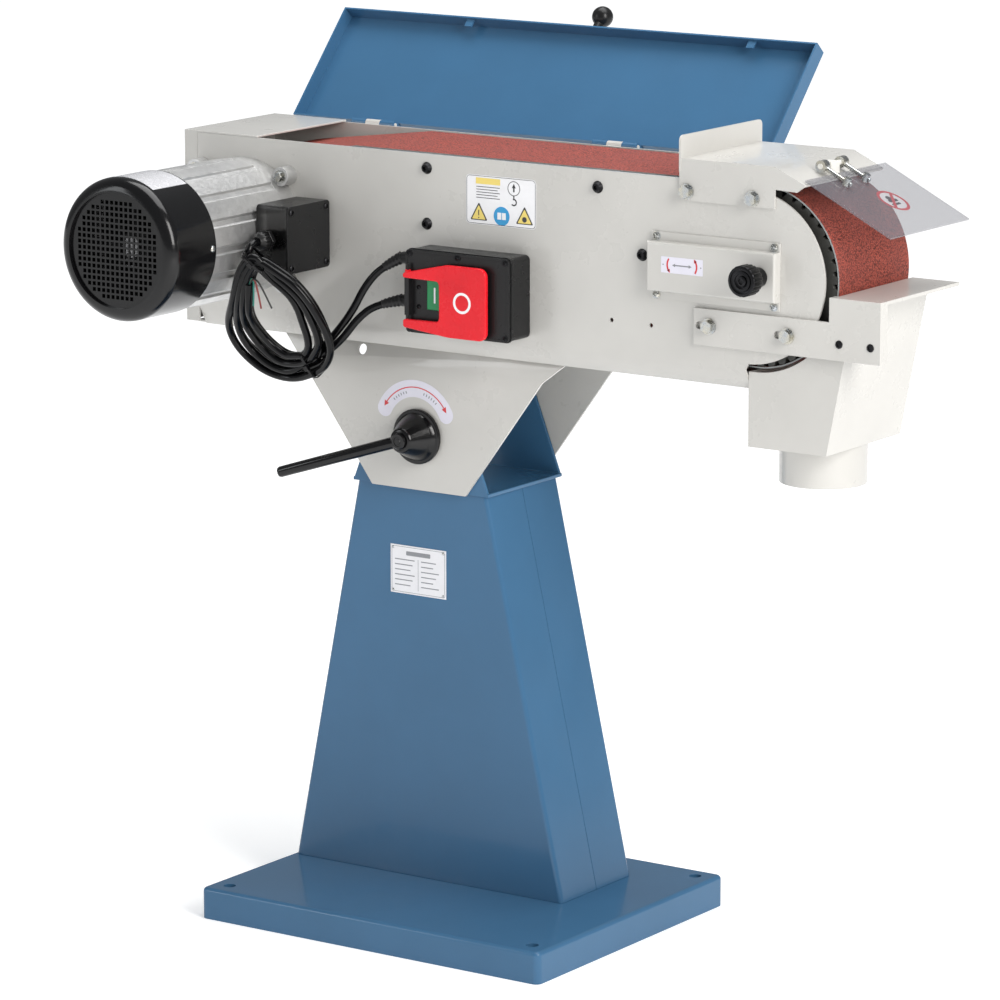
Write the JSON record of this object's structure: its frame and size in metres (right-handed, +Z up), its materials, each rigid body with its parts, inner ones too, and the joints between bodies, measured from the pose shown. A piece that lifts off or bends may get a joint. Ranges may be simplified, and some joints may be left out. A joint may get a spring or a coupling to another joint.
{
  "type": "pedestal belt grinder",
  "caption": "Pedestal belt grinder: abrasive belt over a contact wheel and platen on a tilting arm, flange motor, hinged lid, guard, work rest and dust outlet on a folded column.",
  "frame": {"origin": "middle of the four floor bolts, on the floor", "axes": "+X from the motor towards the contact wheel, +Y away from the side that the motor stands out of, +Z up"},
  "size_m": [0.9511, 0.5709, 1.0318],
  "materials": {
    "blue_paint": "glossy",
    "grey_paint": "glossy",
    "zinc": "satin",
    "black_oxide": "satin",
    "black_paint": "glossy",
    "cast_aluminium": "satin",
    "steel": "satin",
    "tyre_rubber": "matte",
    "abrasive": "coarse grit",
    "graphite_cloth": "matte",
    "black_plastic": "fine texture",
    "cord_sheath": "glossy",
    "red_plastic": "glossy",
    "green_plastic": "glossy",
    "white_plastic": "glossy",
    "clear_plastic": "clear",
    "label_film": "satin"
  },
  "bodies": {
    "base": {"base_tray": "blue_paint", "column_front_shell": "blue_paint", "column_rear_shell": "blue_paint", "pivot_bracket": "blue_paint", "pivot_bolt": "zinc", "rating_plate": "label_film"},
    "arm": {"yoke_front_plate": "grey_paint", "yoke_rear_plate": "grey_paint", "arm_front_panel": "grey_paint", "arm_rear_panel": "grey_paint", "arm_bottom_plate": "grey_paint", "rear_cover": "grey_paint", "cross_spacers": "zinc", "platen": "steel", "graphite_pad": "graphite_cloth", "panel_screws": "black_oxide", "abrasive_belt": "abrasive", "motor_frame": "cast_aluminium", "drive_end_bell": "cast_aluminium", "fan_end_bell": "cast_aluminium", "motor_bearings": "steel", "stator_core": "steel", "fan_cowl": "black_paint", "terminal_box": "black_plastic", "cable_gland": "black_plastic", "motor_cable": "cord_sheath", "supply_cord": "cord_sheath", "cord_hank": "cord_sheath", "cable_ties": "cord_sheath", "switch_housing": "black_plastic", "switch_face": "black_plastic", "guard_hood": "grey_paint", "shield_hinge": "white_plastic", "hex_bolts": "zinc", "dust_hopper": "grey_paint", "dust_spigot": "grey_paint", "tracking_cover": "grey_paint", "lid_hinges": "grey_paint", "small_screws": "zinc", "arm_labels": "label_film"},
    "rotor": {"rotor_core": "steel", "motor_shaft": "steel", "cooling_fan": "black_plastic", "drive_wheel": "steel"},
    "start_key": {"start_button": "green_plastic"},
    "stop_key": {"stop_button": "red_plastic"},
    "paddle": {"stop_paddle": "red_plastic"},
    "shield": {"spark_shield": "clear_plastic", "shield_clamps": "zinc"},
    "rest": {"work_rest": "grey_paint"},
    "knob": {"tracking_knob": "black_oxide"},
    "carriage": {"tension_carriage": "steel", "tension_spring": "steel"},
    "axle": {"contact_axle": "steel", "contact_bearings": "steel"},
    "wheel": {"contact_hub": "cast_aluminium", "contact_tyre": "tyre_rubber"},
    "lever": {"clamp_lever": "black_paint"},
    "lid": {"lid": "blue_paint", "lid_knob": "black_plastic"}
  },
  "joints": [
    {"name": "arm_tilt", "type": "hinge", "parent": "base", "child": "arm", "pos_m": [-0.046, 0.0565, 0.563], "axis": [0, -1, 0], "range_deg": [0, 75]},
    {"name": "clamp_turn", "type": "hinge", "parent": "arm", "child": "lever", "pos_m": [-0.046, 0.0565, 0.563], "axis": [0, 1, 0], "range_deg": [-60, 20]},
    {"name": "lid_swing", "type": "hinge", "parent": "arm", "child": "lid", "pos_m": [0, 0.1494, 0.891], "axis": [1, 0, 0], "range_deg": [0, 131.5]},
    {"name": "motor_spin", "type": "hinge", "parent": "arm", "child": "rotor", "pos_m": [-0.283, 0.0565, 0.7893], "axis": [0, 1, 0], "continuous": true},
    {"name": "tension_slide", "type": "slide", "parent": "arm", "child": "carriage", "axis": [-1, 0, 0], "range_m": [0, 0.015], "stiffness_N_per_m": 4000, "springref_m": -0.02, "deforming": ["tension_spring"]},
    {"name": "axle_tilt", "type": "hinge", "parent": "carriage", "child": "axle", "pos_m": [0.4058, 0.0565, 0.7893], "axis": [0, 0, 1], "range_deg": [-0.5, 0.5]},
    {"name": "contact_spin", "type": "hinge", "parent": "axle", "child": "wheel", "pos_m": [0.4058, 0.0565, 0.7893], "axis": [0, 1, 0], "continuous": true},
    {"name": "tracking_turn", "type": "hinge", "parent": "arm", "child": "knob", "pos_m": [0.422, -0.06, 0.793], "axis": [0, 1, 0], "range_deg": [-180, 180]},
    {"name": "rest_slide", "type": "slide", "parent": "arm", "child": "rest", "axis": [1, 0, 0], "range_m": [0, 0.012]},
    {"name": "shield_swing", "type": "hinge", "parent": "arm", "child": "shield", "pos_m": [0.462, 0.0565, 0.91], "axis": [0, -1, 0], "range_deg": [-6, 100]},
    {"name": "paddle_swing", "type": "hinge", "parent": "arm", "child": "paddle", "pos_m": [-0.021, -0.077, 0.736], "axis": [0, 0, 1], "range_deg": [0, 1.8], "stiffness_Nm_per_rad": 2, "springref_deg": -8.59},
    {"name": "stop_press", "type": "slide", "parent": "arm", "child": "stop_key", "axis": [0, 1, 0], "range_m": [0, 0.003]},
    {"name": "start_press", "type": "slide", "parent": "arm", "child": "start_key", "axis": [0, 1, 0], "range_m": [0, 0.0025], "stiffness_N_per_m": 300, "springref_m": -0.003}
  ],
  "couplings": [
    {"joint": "contact_spin", "follows": "motor_spin", "ratio": 0.8018},
    {"joint": "axle_tilt", "follows": "tracking_turn", "ratio": 0.0027},
    {"joint": "stop_press", "follows": "paddle_swing", "m_per_rad": 0.083}
  ]
}
